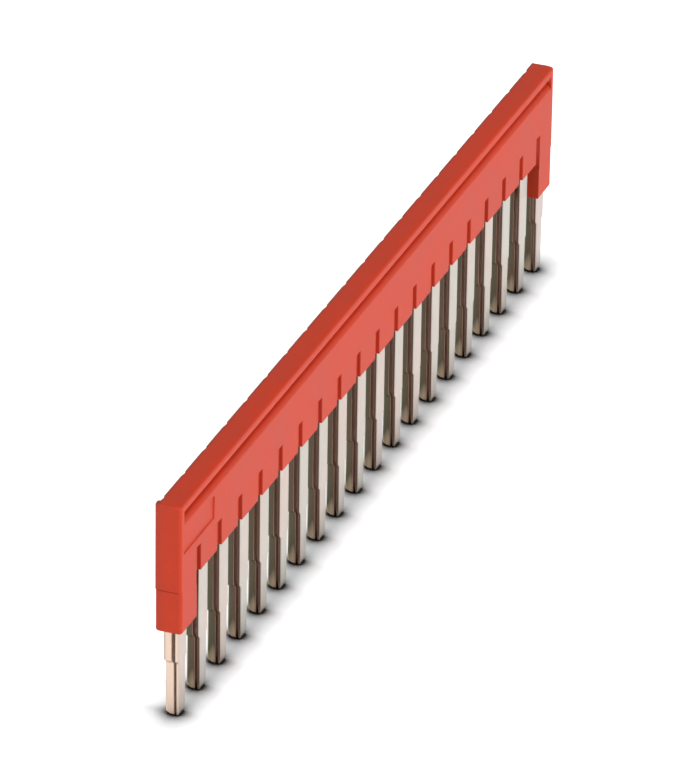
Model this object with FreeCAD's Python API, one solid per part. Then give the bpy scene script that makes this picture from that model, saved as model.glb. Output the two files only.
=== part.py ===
import FreeCAD, Part
import os

os.makedirs("parts", exist_ok=True)
V = FreeCAD.Vector

# Plug-in jumper bar that joins a row of terminal blocks electrically.
# A moulded housing carries two stacked metal combs: a thick contact comb and a thin spring comb.
# Frame: the origin is on the plane of the blade tips, under the middle of the row. X runs along the
# row with the label end at -X, -Y is the front with the grip groove, and +Z points to the grip edge.
# All sizes are millimetres.

# The row of poles
poles = 20
pitch = 5.2
end_overhang = 1.8

# Heights, the first above the blade tips and the others down from the grip edge
overall_height = 22.7
leg_depth = 13.5
bar_depth = 9.0

# Housing, seen from above
housing_thickness = 2.65
back_relief = 0.3
relief_wall = 1.0
end_wall = 0.8
leg_length = 3.95
leg_step = 0.15
seam_height = 0.14
seam_depth = 0.1
seam_margin = 0.2

# Rounded edges of the housing, and the top's gentle fall towards the front
corner_radius = 0.35
grip_edge_radius = 0.25
leg_bottom_radius = 0.25
crown_run = 0.95
crown_drop = 0.14

# Grip groove along the front, measured down from the grip edge, over a lip that rounds into the face
groove_top = 0.85
groove_height = 0.9
groove_depth = 0.7
lip_height = 0.55
lip_bulge = 0.1

# Shallow label field at one end of the front
label_top = 2.9
label_bottom = 5.25
label_length = 7.5
label_depth = 0.15

# Cutting slots between the poles, in the lower edge of the front
slot_width = 1.1
slot_height = 2.85
slot_depth = 0.36
slot_ramp = 0.15

# Tool notches in the back edge of the top, one beside each pole
notch_width = 0.95
notch_depth = 0.12
notch_height = 1.0
notch_offset = 0.7

# Contact comb: a web with one blade for each pole
blade_width = 2.15
blade_lower_width = 1.55
blade_tip_width = 1.45
blade_thickness = 0.85
blade_back = 0.72
blade_crank = 0.12
shoulder_height = 6.0
shoulder_slope = 0.35
tip_corner = 0.2
tip_chamfer_height = 0.5
tip_flat = 0.12
web_height = 3.4
web_cover = 2.5

# Spring comb: the same outline in thinner strip, flat on the web and standing off along the blades
leaf_thickness = 0.3
leaf_gap = 0.36
leaf_joggle = 1.4
leaf_tip_height = 0.45
leaf_tip_lean = 0.14
web_margin = 0.4

# Room round the combs in the housing
comb_clearance = 0.02

# Positions worked out from the sizes above
pole_x = [(k - (poles - 1) / 2) * pitch for k in range(poles)]
half_length = pole_x[-1] + end_overhang
front = -housing_thickness / 2
back = housing_thickness / 2
top = overall_height
bar_bottom = top - bar_depth
leg_bottom = top - leg_depth
web_top = top - web_cover
web_bottom = web_top - web_height
joggle_top = web_bottom - web_margin
joggle_bottom = joggle_top - leaf_joggle
blade_front = blade_back - blade_thickness
leaf_back = blade_front - leaf_gap
leaf_front = leaf_back - leaf_thickness
comb_half = pole_x[-1] + blade_width / 2
past = 1.0


def box(x0, x1, y0, y1, z0, z1):
    return Part.makeBox(x1 - x0, y1 - y0, z1 - z0, V(x0, y0, z0))


def side_prism(points, x0, x1):
    """Extrude an outline of (y, z) points along the bar."""
    corners = [V(x0, y, z) for y, z in points]
    face = Part.Face(Part.makePolygon(corners + corners[:1]))
    return face.extrude(V(x1 - x0, 0, 0))


def bulged_prism(arc, rest, x0, x1):
    """Extrude along the bar an outline with one curved side, an arc given by three (y, z) points."""
    curve = Part.Arc(*[V(x0, y, z) for y, z in arc]).toShape()
    straight = Part.makePolygon([V(x0, y, z) for y, z in rest])
    face = Part.Face(Part.Wire([curve] + straight.Edges))
    return face.extrude(V(x1 - x0, 0, 0))


def front_prism(points, y0, y1):
    """Extrude an outline of (x, z) points through the thickness."""
    corners = [V(x, y0, z) for x, z in points]
    face = Part.Face(Part.makePolygon(corners + corners[:1]))
    return face.extrude(V(0, y1 - y0, 0))


def upright_edges(solid, x_limit):
    """Vertical edges that lie further out along the bar than x_limit."""
    found = []
    for edge in solid.Edges:
        box_of = edge.BoundBox
        if box_of.ZLength > 1.0 and min(abs(box_of.XMin), abs(box_of.XMax)) > x_limit:
            found.append(edge)
    return found


def level_edges(solid, z):
    """Edges that lie wholly at height z."""
    return [e for e in solid.Edges if e.BoundBox.ZLength < 1e-6 and abs(e.BoundBox.ZMin - z) < 1e-6]


def rim_edges(solid):
    """The outer loop of the top, without the crease where its fall towards the front starts."""
    crease = front + crown_run
    found = []
    for edge in solid.Edges:
        box_of = edge.BoundBox
        on_crease = abs(box_of.YMin - crease) < 1e-6 and abs(box_of.YMax - crease) < 1e-6
        if box_of.ZMin > top - crown_drop - 1e-6 and not on_crease:
            found.append(edge)
    return found


def bar_block():
    crown_radius = (crown_run ** 2 + crown_drop ** 2) / (2 * crown_drop)
    half_drop = crown_radius - (crown_radius ** 2 - crown_run ** 2 / 4) ** 0.5
    crown = [(front, top - crown_drop), (front + crown_run / 2, top - half_drop), (front + crown_run, top)]
    rest = [(front + crown_run, top), (back, top), (back, bar_bottom), (front, bar_bottom),
            (front, top - crown_drop)]
    block = bulged_prism(crown, rest, -half_length, half_length)
    block = block.makeFillet(corner_radius, upright_edges(block, half_length - corner_radius))
    return block.makeFillet(grip_edge_radius, rim_edges(block))


def leg_block():
    outer = half_length - leg_step
    inner = half_length - leg_length
    leg = box(inner, outer, front, back, leg_bottom, bar_bottom)
    leg = leg.makeFillet(corner_radius, upright_edges(leg, outer - corner_radius))
    return leg.makeFillet(leg_bottom_radius, level_edges(leg, leg_bottom))


def grip_groove():
    """A square-rooted groove whose lower lip bulges out to meet the front face."""
    ledge = top - groove_top
    shelf = ledge - groove_height
    lip_end = shelf - lip_height
    root = front + groove_depth
    lip = [(root, shelf), (front + groove_depth / 2 - lip_bulge, shelf - lip_height / 2 + lip_bulge),
           (front, lip_end)]
    rest = [(front, lip_end), (front - past, lip_end), (front - past, ledge), (root, ledge), (root, shelf)]
    return bulged_prism(lip, rest, -half_length + end_wall, half_length - end_wall)


def label_field():
    start = -half_length + end_wall
    return box(start, start + label_length, front - past, front + label_depth,
               top - label_bottom, top - label_top)


def cutting_slots():
    crest = bar_bottom + slot_height
    outline = [(front - past, crest), (front, crest), (front + slot_depth, crest - slot_ramp),
               (front + slot_depth, bar_bottom - past), (front - past, bar_bottom - past)]
    slots = []
    for left, right in zip(pole_x, pole_x[1:]):
        middle = (left + right) / 2
        slots.append(side_prism(outline, middle - slot_width / 2, middle + slot_width / 2))
    return slots


def tool_notches():
    floor = back - back_relief - notch_depth
    notches = []
    for x in pole_x:
        centre = x - notch_offset
        notches.append(box(centre - notch_width / 2, centre + notch_width / 2, floor, back + past,
                           top - notch_height, top + past))
    return notches


def comb_channel():
    """Room for both combs: a narrow upper stage, a wide lower one, and one pocket in each leg."""
    c = comb_clearance
    reach = comb_half + c
    narrow_front = blade_front - leaf_thickness - c
    wide_front = leaf_front - c
    rear = blade_back + c
    upper = box(-reach, reach, narrow_front, rear, bar_bottom - past, web_top)
    lower = box(-reach, reach, wide_front, rear, bar_bottom - past, joggle_top)
    pocket = box(-blade_width / 2 - c, blade_width / 2 + c, wide_front, rear,
                 leg_bottom - past, joggle_top)
    channel = upper.fuse([lower]).common(box(-reach, reach, front, back, bar_bottom, top))
    pockets = [pocket.translated(V(x, 0, 0)) for x in (pole_x[0], pole_x[-1])]
    return channel.fuse(pockets)


def leg_seam():
    """A fine joint line across the outer face of a leg, where it meets the bar."""
    outer = half_length - leg_step
    return box(outer - seam_depth, half_length, front + seam_margin, back - seam_margin,
               bar_bottom - seam_height, bar_bottom)


def housing():
    leg = leg_block().cut(leg_seam())
    body = bar_block().fuse([leg, leg.mirror(V(0, 0, 0), V(1, 0, 0))]).removeSplitter()
    relief = box(-half_length + relief_wall, half_length + past, back - back_relief, back + past,
                 leg_bottom - past, top + past)
    cuts = [relief, grip_groove(), label_field(), comb_channel()]
    return body.cut(cuts + cutting_slots() + tool_notches()).removeSplitter()


def comb_outline():
    """Front view of either comb: the web along the top and a shouldered blade under each pole."""
    upper = blade_width / 2
    lower = blade_lower_width / 2
    tip = blade_tip_width / 2
    shoulder = shoulder_height - shoulder_slope
    points = [(-comb_half, web_top)]
    for x in pole_x:
        points += [(x - upper, web_bottom), (x - upper, shoulder_height), (x - lower, shoulder),
                   (x - tip, tip_corner), (x - tip + tip_corner, 0), (x + tip - tip_corner, 0),
                   (x + tip, tip_corner), (x + lower, shoulder), (x + upper, shoulder_height),
                   (x + upper, web_bottom)]
    points.append((comb_half, web_top))
    return points


def contact_comb():
    shoulder = shoulder_height - shoulder_slope
    low_back = blade_back - blade_crank
    low_front = blade_front - blade_crank
    section = [(blade_back, web_top), (blade_back, shoulder_height), (low_back, shoulder),
               (low_back, tip_chamfer_height), (low_front + tip_flat, 0), (low_front, 0),
               (low_front, shoulder), (blade_front, shoulder_height), (blade_front, web_top)]
    strip = side_prism(section, -comb_half, comb_half)
    return front_prism(comb_outline(), front, back).common(strip)


def spring_comb():
    web_front = blade_front - leaf_thickness
    section = [(blade_front, web_top), (blade_front, joggle_top), (leaf_back, joggle_bottom),
               (leaf_back, 0), (leaf_front + leaf_tip_lean, 0), (leaf_front, leaf_tip_height),
               (leaf_front, joggle_bottom), (web_front, joggle_top), (web_front, web_top)]
    strip = side_prism(section, -comb_half, comb_half)
    return front_prism(comb_outline(), front, back).common(strip)


def export(name, shape):
    solid = shape.Solids[0]
    solid.exportStep("parts/" + name + ".step")
    print(name, "solids", len(shape.Solids), "valid", solid.isValid(), "volume", round(solid.Volume, 2))


export("housing", housing())
export("contact_comb", contact_comb())
export("spring_comb", spring_comb())
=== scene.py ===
from math import cos, pi, radians, sin

import bmesh
import bpy
from bpy.props import FloatProperty, FloatVectorProperty, PointerProperty
from bpy.types import Operator, Panel, PropertyGroup
from mathutils import Matrix, Vector


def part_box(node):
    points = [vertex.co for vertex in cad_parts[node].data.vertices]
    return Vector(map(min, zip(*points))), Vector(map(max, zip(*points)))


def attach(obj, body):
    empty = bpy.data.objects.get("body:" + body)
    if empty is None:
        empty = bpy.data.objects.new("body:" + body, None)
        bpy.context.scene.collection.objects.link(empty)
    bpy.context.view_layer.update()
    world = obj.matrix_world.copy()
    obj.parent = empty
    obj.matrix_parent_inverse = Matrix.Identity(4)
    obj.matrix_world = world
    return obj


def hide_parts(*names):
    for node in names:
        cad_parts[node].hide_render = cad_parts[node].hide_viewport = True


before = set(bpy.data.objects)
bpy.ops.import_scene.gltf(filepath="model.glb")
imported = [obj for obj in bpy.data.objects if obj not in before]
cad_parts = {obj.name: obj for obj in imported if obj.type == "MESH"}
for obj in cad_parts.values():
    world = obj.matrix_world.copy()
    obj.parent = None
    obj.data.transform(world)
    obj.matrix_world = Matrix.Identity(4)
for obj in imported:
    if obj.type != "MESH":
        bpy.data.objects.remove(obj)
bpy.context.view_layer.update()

bl_info = {
    "name": "Terminal Block Jumper Bar",
    "version": (1, 0, 0),
    "blender": (4, 5, 0),
    "location": "3D View > Sidebar > Jumper Bar",
    "description": "Finishes the moulded housing and the tinned combs of a plug-in jumper bar",
    "category": "Object",
}

MM = 0.001
# Last blade's side and the blades' back on the contact comb, and the leaves' front
ROW_END, ROW_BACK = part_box("contact_comb")[1][:2]
LEAF_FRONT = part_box("spring_comb")[0][1]

# Side of each comb that is plated and seen; the other one lies against the gap
FRONT, BACK = -1.0, 1.0

# Solid's form: points nearer than this are one, faces that turn by less are one, edges that
# turn by more are sharp
WELD_DISTANCE = 0.001 * MM
FLAT_ANGLE = radians(0.5)
SHARP_ANGLE = radians(35)

# Least length of an edge, in roundings, for it to be rounded: its own, its neighbours', and
# its own on the outline of a blade
LEAST_EDGE, LEAST_NEIGHBOUR, LEAST_OUTLINE = 4.0, 1.9, 1.2

# Stamped faces look forwards or back by less than the first of these, flat ones by more than
# the second
STAMPED_FACING, FLAT_FACING = 0.3, 0.8

HOUSING_SEGMENTS, COMB_SEGMENTS = 2, 3

# Ranges that a ramp spreads over 0 to 1. First the patterns.
PATTERN_MIDDLE = (0.3, 0.7)
FLUSH_MIDDLE = (0.40, 0.60)

# Then how squarely a face looks up, sideways, out of the comb or into the gap
LEVEL_FACE = (0.75, 0.97)
RIM_FACE = (0.3, 0.7)
END_FACE = (0.5, 0.9)
PLATED_FACE = (0.15, 0.55)
GAP_FACE = (0.3, 0.8)

# Then places: the housing's back rim and its ends' back halves (painted shade), the last blades'
# outer sides, the blades' back edges (painted shade), the change between two painted shades, and
# the height of the painted floor reflection
REAR_RIM = (0.68 * MM, 0.96 * MM)
END_BACK = (0.3 * MM, 1.2 * MM)
OUTER_SIDE = (ROW_END - 1.6 * MM, ROW_END - 0.9 * MM)
BACK_EDGE = (ROW_BACK - 0.30 * MM, ROW_BACK - 0.05 * MM)
SHADE_CHANGE = (LEAF_FRONT + 0.2 * MM, ROW_BACK - 0.3 * MM)
FLOOR_REFLECTION_HEIGHT = (0.9 * MM, 2.7 * MM)

# Last the floor: distance from the row, and how open it is close to a tip and further out
OPEN_FLOOR = (0.8 * MM, 3.8 * MM)
OPEN_CLOSE_BY = (0.54, 0.95)
OPEN_FURTHER = (0.40, 0.95)

# Patterns: how large each is, how far two of them are drawn out upwards, how deep the bumps go
FLOW_SIZE, FLECK_SIZE = 6.0 * MM, 0.35 * MM
STREAK_SIZE, CLOUD_SIZE, FLUSH_SIZE = 0.16 * MM, 1.6 * MM, 4.2 * MM
STREAK_STRETCH, FLUSH_STRETCH = (1.0, 1.0, 40.0), (1.0, 1.0, 2.5)
GRAIN_DEPTH, STREAK_DEPTH = 0.012 * MM, 0.006 * MM
BUMP_STRENGTH = 0.5

# Darkest and palest that a pattern makes the plastic and the tin
PLASTIC_RANGE = (0.90, 1.07)
TIN_RANGE = (0.90, 1.06)

# Roughness of the blades' and the leaves' plating, to which its patterns add
BLADE_ROUGHNESS, LEAF_ROUGHNESS = 0.26, 0.24

# Floor: reach of the two painted shadows round a tip, number of rays for each, and the two colours
CLOSE_REACH, FURTHER_REACH = 2.0 * MM, 6.0 * MM
SHADOW_RAYS = 16
SHADOW_COLOUR = (0.02, 0.015, 0.012)
FLOOR_COLOUR = (0.96, 0.98, 1.0)
FLOOR_HALF, FLOOR_CELLS = 0.9, 8

# Soft boxes: name, centre, point it is aimed at, width and height, and the setting of its level
SOFT_BOXES = (
    ("front_soft_box", (0.0, -0.62, 0.26), (0.0, 0.0, 0.015), (0.44, 0.24), "front"),
    ("end_soft_box", (-0.62, 0.08, 0.14), (0.0, 0.0, 0.015), (0.30, 0.24), "end"),
    ("overhead_strip", (0.0, 0.045, 0.60), (0.0, 0.0, 0.0), (0.40, 0.10), "overhead"),
    ("back_soft_box", (0.15, 0.62, 0.26), (0.0, 0.0, 0.015), (0.40, 0.20), "back"),
)

# Photograph's height in pixels, the sensor height that the lens is measured against, and the
# nearest and furthest that the camera sees, in metres
FRAME_HEIGHT_PX = 774
SENSOR_MM = 36.0
NEAREST_SEEN, FURTHEST_SEEN = 0.01, 20.0

# Sockets of a Mix node that carry colours
MIX_FACTOR, MIX_FIRST, MIX_SECOND, MIX_RESULT = 0, 6, 7, 2

WHITE = (1.0, 1.0, 1.0)


# Sizes and colours a user may change


class HousingSettings(PropertyGroup):
    colour: FloatVectorProperty(
        name="Plastic colour", description="Body colour of the moulded housing",
        subtype="COLOR", size=3, min=0.0, max=1.0, default=(0.51, 0.036, 0.009))
    # Painted shade along the back rim and on the back half of each end face
    rim_shade_colour: FloatVectorProperty(
        name="Rim shade colour", description="Painted shade along the back rim of the grip edge and the ends' back halves",
        subtype="COLOR", size=3, min=0.0, max=1.0, default=(0.24, 0.045, 0.030))
    edge_radius: FloatProperty(
        name="Edge radius", description="Rounding on the moulded edges",
        unit="LENGTH", default=0.06 * MM)
    grain_size: FloatProperty(
        name="Grain size", description="Size of the spark-eroded grain on the faces",
        unit="LENGTH", default=0.09 * MM)


class CombSettings(PropertyGroup):
    tin_colour: FloatVectorProperty(
        name="Tin colour", description="Colour of the tinned faces",
        subtype="COLOR", size=3, min=0.0, max=1.0, default=(0.50, 0.475, 0.42))
    flushed_colour: FloatVectorProperty(
        name="Flushed tin colour",
        description="Warmer colour of the tinned faces where the copper shows through",
        subtype="COLOR", size=3, min=0.0, max=1.0, default=(0.545, 0.46, 0.405))
    sheared_colour: FloatVectorProperty(
        name="Sheared edge colour",
        description="Colour of the outermost stamped edges, where copper shows",
        subtype="COLOR", size=3, min=0.0, max=1.0, default=(0.62, 0.475, 0.38))
    # Painted shade on the inner blades' stamped edges, one colour at the front and one at the back
    front_shade_colour: FloatVectorProperty(
        name="Front shade colour",
        description="Painted shade on the stamped edges between the blades, on their front half",
        subtype="COLOR", size=3, min=0.0, max=1.0, default=(0.150, 0.090, 0.066))
    rear_shade_colour: FloatVectorProperty(
        name="Rear shade colour",
        description="Painted shade on the stamped edges between the blades, on their back half",
        subtype="COLOR", size=3, min=0.0, max=1.0, default=(0.092, 0.088, 0.056))
    # Painted reflection of the floor on the inner blades' stamped edges near the tips
    floor_reflection_colour: FloatVectorProperty(
        name="Floor reflection colour",
        description="Painted reflection of the floor on the stamped edges near the tips",
        subtype="COLOR", size=3, min=0.0, max=1.0, default=(0.42, 0.32, 0.22))
    # Painted light on the faces into the gap of each inner pin
    gap_light_colour: FloatVectorProperty(
        name="Gap light colour",
        description="Painted light: copper tone on the faces on both sides of the gap in each inner pin",
        subtype="COLOR", size=3, min=0.0, max=1.0, default=(0.42, 0.26, 0.19))
    outer_radius: FloatProperty(
        name="Outer edge radius", description="Rounding along the back edges of the thick blades",
        unit="LENGTH", default=0.18 * MM)
    gap_radius: FloatProperty(
        name="Gap edge radius",
        description="Rounding along the front edges of the thick blades, at the gap",
        unit="LENGTH", default=0.09 * MM)
    leaf_radius: FloatProperty(
        name="Leaf edge radius", description="Rounding along the front edges of the thin leaves",
        unit="LENGTH", default=0.12 * MM)
    fine_radius: FloatProperty(
        name="Fine edge radius", description="Rounding on the other edges of the combs",
        unit="LENGTH", default=0.03 * MM)


class StageSettings(PropertyGroup):
    azimuth: FloatProperty(
        name="Azimuth", description="Viewing direction, turned from +X towards +Y",
        subtype="ANGLE", default=radians(20.407))
    elevation: FloatProperty(
        name="Elevation", description="Height of the camera above the horizon",
        subtype="ANGLE", default=radians(27.603))
    roll: FloatProperty(
        name="Roll", description="Tilt of the camera about its own axis",
        subtype="ANGLE", default=radians(0.868))
    distance: FloatProperty(
        name="Distance", description="From the camera to its target",
        unit="LENGTH", default=734.338 * MM)
    target: FloatVectorProperty(
        name="Target", description="Point that the camera looks at",
        subtype="XYZ", size=3, default=(-0.042 * MM, 1.962 * MM, 9.730 * MM))
    focal_px: FloatProperty(
        name="Focal length in pixels", description="Focal length in pixels of the photograph",
        default=7515.0)
    sky: FloatProperty(
        name="Room light", description="Strength of the even light from the studio",
        default=0.20)
    front: FloatProperty(
        name="Front light", description="Light that the front soft box throws on a facing surface",
        default=0.86)
    end: FloatProperty(
        name="End light",
        description="Light that the soft box at the label end throws on a facing surface",
        default=0.42)
    overhead: FloatProperty(
        name="Overhead light",
        description="Light that the overhead strip throws on a facing surface",
        default=0.22)
    back: FloatProperty(
        name="Back light", description="Light that the back soft box throws on a facing surface",
        default=0.30)
    floor_lift: FloatProperty(
        name="Floor lift", description="Glow that brings the open floor to white where it is seen",
        default=0.45)


# Shader maths as Python expressions


class Graph:
    """The node tree of a material or a world, to which its methods add nodes."""

    def __init__(self, tree):
        self.tree = tree
        tree.nodes.clear()

    def node(self, kind, settings=None, inputs=None):
        made = self.tree.nodes.new(kind)
        for name, value in (settings or {}).items():
            setattr(made, name, value)
        for name, value in (inputs or {}).items():
            self.feed(made.inputs[name], value)
        return made

    def feed(self, socket, value):
        if isinstance(value, Field):
            self.tree.links.new(value.socket, socket)
        elif isinstance(value, bpy.types.NodeSocket):
            self.tree.links.new(value, socket)
        else:
            socket.default_value = value

    def field(self, kind, output, settings=None, inputs=None):
        return Field(self, self.node(kind, settings, inputs).outputs[output])

    def grey(self, value):
        """A colour with the same value in each channel."""
        return self.node("ShaderNodeCombineColor", None,
                         {"Red": value, "Green": value, "Blue": value}).outputs[0]

    def blend(self, factor, first, second):
        """Mix two colours by a factor."""
        mixed = self.node("ShaderNodeMix", {"data_type": "RGBA"})
        self.feed(mixed.inputs[MIX_FACTOR], factor)
        self.feed(mixed.inputs[MIX_FIRST], first)
        self.feed(mixed.inputs[MIX_SECOND], second)
        return Field(self, mixed.outputs[MIX_RESULT])


class Field:
    """A socket that takes part in Python expressions, each of which adds its Math nodes."""

    def __init__(self, graph, socket):
        self.graph = graph
        self.socket = socket

    def maths(self, operation, first, second=0.0):
        made = self.graph.node("ShaderNodeMath", {"operation": operation}, {0: first, 1: second})
        return Field(self.graph, made.outputs[0])

    def __add__(self, other):
        return self.maths("ADD", self, other)

    __radd__ = __add__

    def __sub__(self, other):
        return self.maths("SUBTRACT", self, other)

    def __rsub__(self, other):
        return self.maths("SUBTRACT", other, self)

    def __mul__(self, other):
        return self.maths("MULTIPLY", self, other)

    __rmul__ = __mul__

    def __pow__(self, other):
        return self.maths("POWER", self, other)

    def __abs__(self):
        return self.maths("ABSOLUTE", self)

    def ramp(self, low, high):
        """0 below low, 1 above high and straight between, clamped."""
        made = self.graph.node(
            "ShaderNodeMapRange", {"clamp": True},
            {"Value": self, "From Min": low, "From Max": high})
        return Field(self.graph, made.outputs[0])


def new_material(name):
    material = bpy.data.materials.new(name)
    material.use_nodes = True
    return material, Graph(material.node_tree)


def place(graph):
    """Object coordinates in metres, as a vector socket."""
    return graph.node("ShaderNodeTexCoord").outputs["Object"]


def parts(graph, vector):
    """The X, Y and Z of a vector, by name."""
    split = graph.node("ShaderNodeSeparateXYZ", None, {0: vector})
    return {axis: Field(graph, split.outputs[axis]) for axis in "XYZ"}


def faces(graph):
    """Which way the surface faces, in the object's own axes."""
    return parts(graph, graph.node("ShaderNodeTexCoord").outputs["Normal"])


def scaled(graph, vector, scale):
    """A vector multiplied by another, axis by axis."""
    return graph.node("ShaderNodeVectorMath", {"operation": "MULTIPLY"},
                      {0: vector, 1: scale}).outputs[0]


def noise(graph, vector, size, detail=2.0, roughness=0.5, stretch=(1.0, 1.0, 1.0)):
    """Noise whose features are about size metres across, stretched along the given axes."""
    scale = [1.0 / (size * s) for s in stretch]
    return graph.field("ShaderNodeTexNoise", "Fac", None,
                       {"Vector": scaled(graph, vector, scale), "Scale": 1.0,
                        "Detail": detail, "Roughness": roughness})


def mingled(first, second, share):
    """Two patterns added up, the first with the given share."""
    return first * share + second * (1.0 - share)


def opaque(colour, level=1.0):
    """A colour at a level of brightness, as the four numbers that a colour socket takes."""
    return [min(1.0, channel * level) for channel in colour] + [1.0]


def shaded(graph, colour, level):
    """A colour socket made darker or lighter by a plain factor."""
    return graph.node("ShaderNodeVectorMath", {"operation": "SCALE"},
                      {0: colour, "Scale": level}).outputs[0]


def bump(graph, height, depth):
    """A normal that is tilted by a pattern of the given depth."""
    return graph.node("ShaderNodeBump", None,
                      {"Height": height, "Distance": depth,
                       "Strength": BUMP_STRENGTH}).outputs[0]


def openness(graph, reach):
    """How open the floor is, from 0 under a tip to 1 where nothing stands within reach."""
    return graph.field("ShaderNodeAmbientOcclusion", "AO", {"samples": SHADOW_RAYS},
                       {"Distance": reach})


def surface(graph, values):
    """One plain shader with the given values, led to the material's output."""
    shader = graph.node("ShaderNodeBsdfPrincipled", None, values)
    graph.node("ShaderNodeOutputMaterial", None, {"Surface": shader.outputs[0]})


def plastic_material(settings):
    """Red moulded polyamide: a fine eroded grain, faint flow clouds, a satin sheen, and painted
    shade along the back rim and the ends' back halves.
    """
    flow_share, grain_share = 0.7, 0.7
    rim_shade_share, end_shade_share = 0.9, 0.3
    satin, flow_bloom, grain_bloom = 0.40, 0.16, 0.08
    sheen = 0.20

    material, graph = new_material("red_polyamide_moulded")
    at = place(graph)
    depth = parts(graph, at)["Y"]
    facing = faces(graph)
    flow = noise(graph, at, FLOW_SIZE, detail=3.0)
    flecks = noise(graph, at, FLECK_SIZE, roughness=0.6)
    grain = noise(graph, at, settings.grain_size, detail=3.0, roughness=0.6)
    darkest, palest = (opaque(settings.colour, level) for level in PLASTIC_RANGE)
    body = graph.blend(mingled(flow, flecks, flow_share).ramp(*PATTERN_MIDDLE),
                       darkest, palest)
    # Painted shade: the back rim and the back half of each end face darken towards the rim shade
    # colour
    rear_rim = facing["Z"].ramp(*RIM_FACE) * depth.ramp(*REAR_RIM)
    end_back = abs(facing["X"]).ramp(*END_FACE) * depth.ramp(*END_BACK)
    rim_and_end_shade = rear_rim * rim_shade_share + end_back * end_shade_share
    surface(graph, {
        "Base Color": graph.blend(rim_and_end_shade, body, opaque(settings.rim_shade_colour)),
        "Roughness": satin + flow_bloom * flow + grain_bloom * grain,
        "IOR": 1.5,
        "Specular IOR Level": 0.14,
        "Coat Weight": (1.0 - facing["Z"].ramp(*LEVEL_FACE)) * sheen,
        "Coat Roughness": 0.45,
        "Normal": bump(graph, mingled(grain, flecks, grain_share), GRAIN_DEPTH),
    })
    return material


def tin_material(name, settings, roughness, side):
    """Tin with rolled streaks on one side; painted shade on the stamped edges between the blades
    and on the back edges, painted light in each inner pin's gap, and a painted floor reflection
    near the tips.
    """
    streak_share = 0.6
    back_edge_shade = 0.6
    shade_wander, reflection_wander = 0.9 * MM, 0.6 * MM
    reflection_slant = 2.2
    copper_dulled = 0.7
    streak_bloom, cloud_bloom, sheared_bloom = 0.10, 0.08, 0.12

    material, graph = new_material(name)
    at = place(graph)
    where = parts(graph, at)
    depth = where["Y"]
    outward = faces(graph)["Y"] * side
    sheared = 1.0 - outward.ramp(*PLATED_FACE)
    at_gap = (0.0 - outward).ramp(*GAP_FACE)
    # Painted shade: the stamped edges of the inner blades take dark shade colours, the last blades'
    # outer edges keep their sheared colour
    inside = 1.0 - abs(where["X"]).ramp(*OUTER_SIDE)
    streaks = noise(graph, at, STREAK_SIZE, stretch=STREAK_STRETCH)
    clouds = noise(graph, at, CLOUD_SIZE)
    flush = noise(graph, at, FLUSH_SIZE, detail=1.0, stretch=FLUSH_STRETCH)

    tin = graph.blend(flush.ramp(*FLUSH_MIDDLE), opaque(settings.tin_colour),
                      opaque(settings.flushed_colour))
    darkest, palest = (shaded(graph, tin, level) for level in TIN_RANGE)
    plated = graph.blend(mingled(streaks, clouds, streak_share).ramp(*PATTERN_MIDDLE),
                         darkest, palest)
    # Painted shade: the sheared colour darkens towards the rear shade colour along the blades' back
    # edges
    rear_shade = opaque(settings.rear_shade_colour)
    cut = graph.blend(depth.ramp(*BACK_EDGE) * back_edge_shade,
                      opaque(settings.sheared_colour), rear_shade)
    # Painted shade on the inner blades' stamped edges, wandering from the front shade to the rear
    # shade
    wandering = depth + (flush - 0.5) * shade_wander
    dark = graph.blend(wandering.ramp(*SHADE_CHANGE), opaque(settings.front_shade_colour),
                       rear_shade)
    # Painted reflection: low on the inner blades the painted shade turns to a pale floor reflection
    height = where["Z"] + abs(depth) * reflection_slant + clouds * reflection_wander
    shade_and_reflection = graph.blend(1.0 - height.ramp(*FLOOR_REFLECTION_HEIGHT), dark,
                       opaque(settings.floor_reflection_colour))
    # Painted light: the faces into the gap of each inner pin take a lighter copper tone than the
    # painted shade round them
    copper = graph.blend(inside, cut, opaque(settings.gap_light_colour))
    edge = graph.blend(at_gap, graph.blend(inside, cut, shade_and_reflection), copper)
    surface(graph, {
        "Base Color": graph.blend(sheared, plated, edge),
        "Metallic": 1.0 - at_gap * (1.0 - inside) * copper_dulled,
        "Roughness": (roughness + streak_bloom * streaks + cloud_bloom * clouds
                      + sheared_bloom * sheared),
        "Normal": bump(graph, streaks, STREAK_DEPTH),
    })
    return material


def seen_or_mirrored(graph):
    """1 for rays from the camera and for mirrored or passed-on ones, else 0."""
    path = graph.node("ShaderNodeLightPath")
    seen, mirrored, passed_on = (
        Field(graph, path.outputs[name])
        for name in ("Is Camera Ray", "Is Glossy Ray", "Is Transmission Ray"))
    return (seen + mirrored + passed_on).ramp(0.0, 1.0)


def floor_material(lift):
    """White sweep, lifted to white where it is seen, that keeps the shadow along the row and has a
    painted shadow round each tip.
    """
    close_share, further_share = 0.35, 0.65
    farthest = 1.0

    material, graph = new_material("white_sweep")
    where = parts(graph, place(graph))
    past_end = abs(where["X"]).ramp(ROW_END, ROW_END + farthest)
    away = (past_end ** 2 + where["Y"] ** 2) ** 0.5
    # Painted shadow: the floor's colour darkens where the tips close it in
    close_by = openness(graph, CLOSE_REACH).ramp(*OPEN_CLOSE_BY)
    further = openness(graph, FURTHER_REACH).ramp(*OPEN_FURTHER)
    shade = graph.blend(close_by * (close_share + further * further_share),
                        opaque(SHADOW_COLOUR), opaque(FLOOR_COLOUR))
    glow = seen_or_mirrored(graph) * away.ramp(*OPEN_FLOOR) * lift
    surface(graph, {
        "Base Color": shade,
        "Roughness": 0.9,
        "Specular IOR Level": 0.0,
        "Emission Color": graph.grey(glow),
        "Emission Strength": 1.0,
    })
    return material


# Pieces


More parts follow.
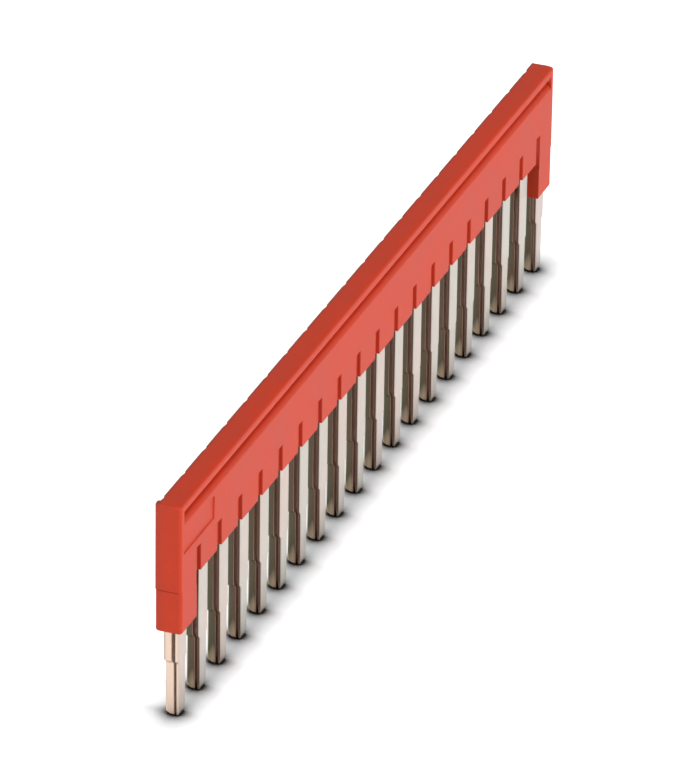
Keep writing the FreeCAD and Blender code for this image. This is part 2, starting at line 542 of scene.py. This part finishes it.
def has_room(edge, radius):
    """Whether an edge is long enough to be rounded and so are the edges that it meets."""
    if edge.calc_length() < LEAST_EDGE * radius:
        return False
    return all(other.calc_length() > LEAST_NEIGHBOUR * radius
               for vert in edge.verts for other in vert.link_edges)


def housing_rounding(settings):
    """The same small rounding on every moulded edge that has room for it."""
    radius = settings.edge_radius
    return radius, lambda edge: radius if has_room(edge, radius) else 0.0


def comb_rounding(settings, front, back):
    """Roundings on the front and back outlines of a comb's blades, and fine ones elsewhere."""
    def radius_of(edge):
        stamped, flat = sorted((face.normal for face in edge.link_faces),
                               key=lambda normal: abs(normal.y))
        if abs(stamped.y) < STAMPED_FACING and abs(flat.y) > FLAT_FACING:
            radius = front if flat.y < 0 else back
            return radius if edge.calc_length() > LEAST_OUTLINE * radius else 0.0
        return settings.fine_radius if has_room(edge, settings.fine_radius) else 0.0
    return max(front, back), radius_of


def rounded_piece(node, rounding, segments):
    """A new mesh on a solid's form: flat faces made whole, then each sharp edge rounded."""
    widest, radius_of = rounding
    mesh = bpy.data.meshes.new(node + "_form")
    form = bmesh.new()
    form.from_mesh(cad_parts[node].data)
    bmesh.ops.remove_doubles(form, verts=form.verts, dist=WELD_DISTANCE)
    bmesh.ops.dissolve_limit(form, angle_limit=FLAT_ANGLE, verts=form.verts, edges=form.edges)
    weight = form.edges.layers.float.new("bevel_weight_edge")
    for edge in form.edges:
        if len(edge.link_faces) == 2 and edge.calc_face_angle(0) > SHARP_ANGLE:
            edge[weight] = radius_of(edge) / widest
            edge.smooth = edge[weight] > 0
    for face in form.faces:
        face.smooth = True
    form.to_mesh(mesh)
    form.free()
    piece = bpy.data.objects.new(node + "_finished", mesh)
    bpy.context.scene.collection.objects.link(piece)
    bevel = piece.modifiers.new("edge_rounding", "BEVEL")
    bevel.width = widest
    bevel.segments = segments
    bevel.limit_method = "WEIGHT"
    bevel.use_clamp_overlap = False
    piece.modifiers.new("face_normals", "WEIGHTED_NORMAL").keep_sharp = True
    return piece


def finish_piece(piece, node, material):
    """Give a piece its material, and put it in the place of its solid."""
    piece.data.materials.clear()
    piece.data.materials.append(material)
    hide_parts(node)
    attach(piece, "root")


class JUMPER_OT_housing(Operator):
    """Make the moulded housing with rounded edges and a satin grain"""
    bl_idname = "jumper.housing"
    bl_label = "Housing"

    def execute(self, context):
        settings = context.scene.jumper_housing
        piece = rounded_piece("housing", housing_rounding(settings), HOUSING_SEGMENTS)
        finish_piece(piece, "housing", plastic_material(settings))
        return {"FINISHED"}


class JUMPER_OT_contact_comb(Operator):
    """Make the thick stamped comb whose blades plug into the terminal blocks"""
    bl_idname = "jumper.contact_comb"
    bl_label = "Contact Comb"

    def execute(self, context):
        settings = context.scene.jumper_comb
        rounding = comb_rounding(settings, settings.gap_radius, settings.outer_radius)
        piece = rounded_piece("contact_comb", rounding, COMB_SEGMENTS)
        finish_piece(piece, "contact_comb",
                     tin_material("tinned_copper", settings, BLADE_ROUGHNESS, BACK))
        return {"FINISHED"}


class JUMPER_OT_spring_comb(Operator):
    """Make the thin leaf comb that stands off along the front of the blades"""
    bl_idname = "jumper.spring_comb"
    bl_label = "Spring Comb"

    def execute(self, context):
        settings = context.scene.jumper_comb
        rounding = comb_rounding(settings, settings.leaf_radius, settings.fine_radius)
        piece = rounded_piece("spring_comb", rounding, COMB_SEGMENTS)
        finish_piece(piece, "spring_comb",
                     tin_material("tinned_strip", settings, LEAF_ROUGHNESS, FRONT))
        return {"FINISHED"}


# Stage


def add_floor(lift):
    """A wide white sweep on the plane that the blade tips stand on."""
    mesh = bpy.data.meshes.new("sweep")
    sheet = bmesh.new()
    bmesh.ops.create_grid(sheet, x_segments=FLOOR_CELLS, y_segments=FLOOR_CELLS, size=FLOOR_HALF)
    sheet.to_mesh(mesh)
    sheet.free()
    floor = bpy.data.objects.new("sweep", mesh)
    bpy.context.scene.collection.objects.link(floor)
    floor.data.materials.append(floor_material(lift))


def add_soft_box(name, centre, target, size, level):
    """A soft box aimed at a point, where a white card that faces it renders at the level."""
    aim = Vector(target) - Vector(centre)
    lamp = bpy.data.lights.new(name, "AREA")
    lamp.shape = "RECTANGLE"
    lamp.size, lamp.size_y = size
    lamp.energy = level * (pi * aim.length) ** 2
    box = bpy.data.objects.new(name, lamp)
    bpy.context.scene.collection.objects.link(box)
    box.location = centre
    box.rotation_euler = aim.to_track_quat("-Z", "Y").to_euler()


def add_room_light(strength):
    """An even light from all round, which the camera and the metal see as plain white."""
    world = bpy.data.worlds.new("studio")
    bpy.context.scene.world = world
    world.use_nodes = True
    graph = Graph(world.node_tree)
    room, white = (
        graph.node("ShaderNodeBackground", None, {"Color": opaque(WHITE), "Strength": level})
        for level in (strength, 1.0))
    mixed = graph.node("ShaderNodeMixShader", None,
                       {0: seen_or_mirrored(graph), 1: room.outputs[0], 2: white.outputs[0]})
    graph.node("ShaderNodeOutputWorld", None, {"Surface": mixed.outputs[0]})


def add_camera(settings):
    """A long lens at the photograph's viewing angle."""
    azimuth, elevation, roll = settings.azimuth, settings.elevation, settings.roll
    ahead = Vector((cos(elevation) * cos(azimuth), cos(elevation) * sin(azimuth),
                    -sin(elevation)))
    right = Vector((sin(azimuth), -cos(azimuth), 0.0))
    up = right.cross(ahead)
    tilted_right = right * cos(roll) + up * sin(roll)
    tilted_up = up * cos(roll) - right * sin(roll)
    turn = Matrix((tilted_right, tilted_up, -ahead)).transposed().to_4x4()
    data = bpy.data.cameras.new("camera")
    data.sensor_fit = "VERTICAL"
    data.sensor_height = SENSOR_MM
    data.lens = settings.focal_px * SENSOR_MM / FRAME_HEIGHT_PX
    data.clip_start, data.clip_end = NEAREST_SEEN, FURTHEST_SEEN
    camera = bpy.data.objects.new("camera", data)
    bpy.context.scene.collection.objects.link(camera)
    stand = Vector(settings.target) - ahead * settings.distance
    camera.matrix_world = Matrix.Translation(stand) @ turn
    bpy.context.scene.camera = camera


class JUMPER_OT_stage(Operator):
    """Set up the white sweep, the soft boxes and the long-lens camera"""
    bl_idname = "jumper.stage"
    bl_label = "Stage"

    def execute(self, context):
        settings = context.scene.jumper_stage
        add_floor(settings.floor_lift)
        for name, centre, target, size, level in SOFT_BOXES:
            add_soft_box(name, centre, target, size, getattr(settings, level))
        add_room_light(settings.sky)
        add_camera(settings)
        context.scene.view_settings.view_transform = "Standard"
        return {"FINISHED"}


class JUMPER_PT_panel(Panel):
    """Lists the settings and the steps that make the bar"""
    bl_idname = "JUMPER_PT_panel"
    bl_label = "Jumper Bar"
    bl_space_type = "VIEW_3D"
    bl_region_type = "UI"
    bl_category = "Jumper Bar"

    def draw(self, context):
        scene = context.scene
        for settings in (scene.jumper_housing, scene.jumper_comb, scene.jumper_stage):
            for name in settings.__annotations__:
                self.layout.prop(settings, name)
        for step in STEPS:
            self.layout.operator(step.bl_idname)


STEPS = (JUMPER_OT_housing, JUMPER_OT_contact_comb, JUMPER_OT_spring_comb, JUMPER_OT_stage)
CLASSES = (HousingSettings, CombSettings, StageSettings) + STEPS + (JUMPER_PT_panel,)


def register():
    for cls in CLASSES:
        bpy.utils.register_class(cls)
    bpy.types.Scene.jumper_housing = PointerProperty(type=HousingSettings)
    bpy.types.Scene.jumper_comb = PointerProperty(type=CombSettings)
    bpy.types.Scene.jumper_stage = PointerProperty(type=StageSettings)


def unregister():
    del bpy.types.Scene.jumper_stage
    del bpy.types.Scene.jumper_comb
    del bpy.types.Scene.jumper_housing
    for cls in reversed(CLASSES):
        bpy.utils.unregister_class(cls)


def main():
    register()
    bpy.ops.jumper.housing()
    bpy.ops.jumper.contact_comb()
    bpy.ops.jumper.spring_comb()
    bpy.ops.jumper.stage()


if __name__ == "__main__":
    main()
